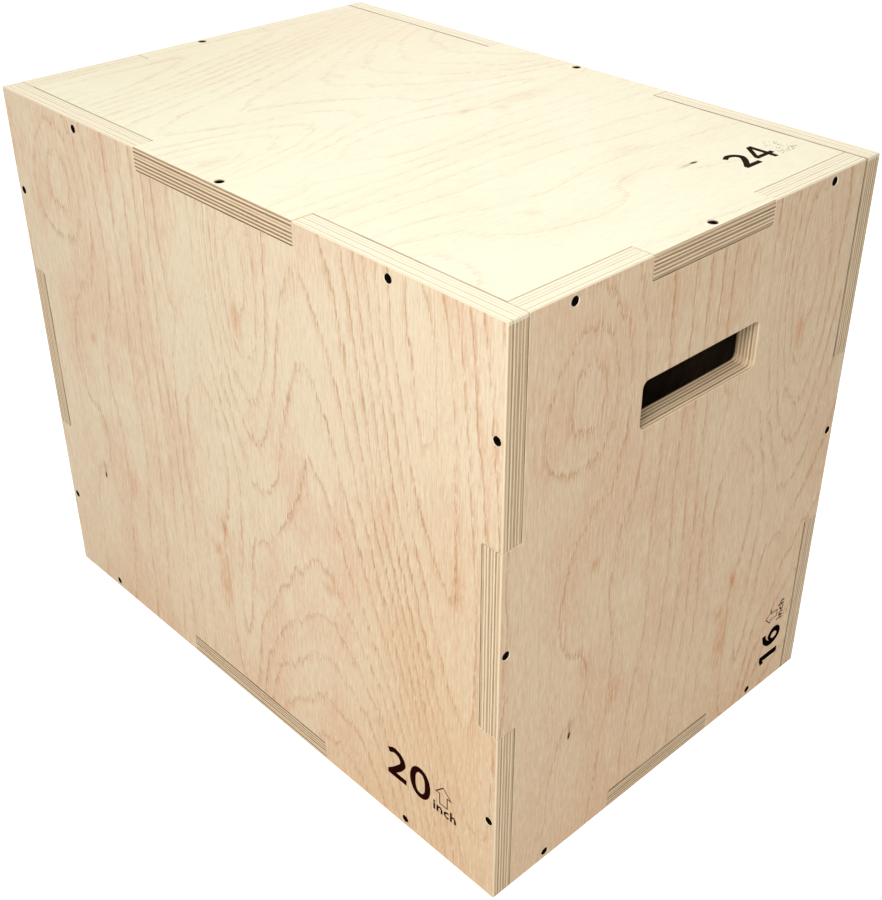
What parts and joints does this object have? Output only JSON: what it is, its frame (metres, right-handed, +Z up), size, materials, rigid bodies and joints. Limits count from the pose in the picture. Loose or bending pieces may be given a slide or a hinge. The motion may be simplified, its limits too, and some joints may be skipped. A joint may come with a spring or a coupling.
{
  "type": "plyo box",
  "caption": "Wooden plyometric jump box of finger-jointed, screwed plywood panels with a hand hole through each end; it is turned onto another face to change its jump height.",
  "frame": {"origin": "middle of the bottom face, as the box stands 20 in high", "axes": "+X along the length towards the right end panel, +Y along the depth towards the back panel, +Z up"},
  "size_m": [0.6096, 0.4064, 0.508],
  "materials": {
    "plywood": "sanded birch plywood, clear matt sealer",
    "screw_steel": "black phosphate, satin",
    "ink": "matt printed ink"
  },
  "bodies": {
    "root": {"front_panel": "plywood", "back_panel": "plywood", "left_panel": "plywood", "right_panel": "plywood", "top_panel": "plywood", "bottom_panel": "plywood", "front_to_left_screws": "screw_steel", "front_to_right_screws": "screw_steel", "front_to_bottom_screws": "screw_steel", "front_to_top_screws": "screw_steel", "back_to_right_screws": "screw_steel", "back_to_left_screws": "screw_steel", "back_to_bottom_screws": "screw_steel", "back_to_top_screws": "screw_steel", "left_to_back_screw": "screw_steel", "left_to_front_screw": "screw_steel", "left_to_bottom_screws": "screw_steel", "left_to_top_screws": "screw_steel", "right_to_front_screw": "screw_steel", "right_to_back_screw": "screw_steel", "right_to_bottom_screws": "screw_steel", "right_to_top_screws": "screw_steel", "top_to_left_screw": "screw_steel", "top_to_right_screw": "screw_steel", "top_to_front_screw": "screw_steel", "top_to_back_screw": "screw_steel", "bottom_to_left_screw": "screw_steel", "bottom_to_right_screw": "screw_steel", "bottom_to_back_screw": "screw_steel", "bottom_to_front_screw": "screw_steel"}
  },
  "joints": []
}
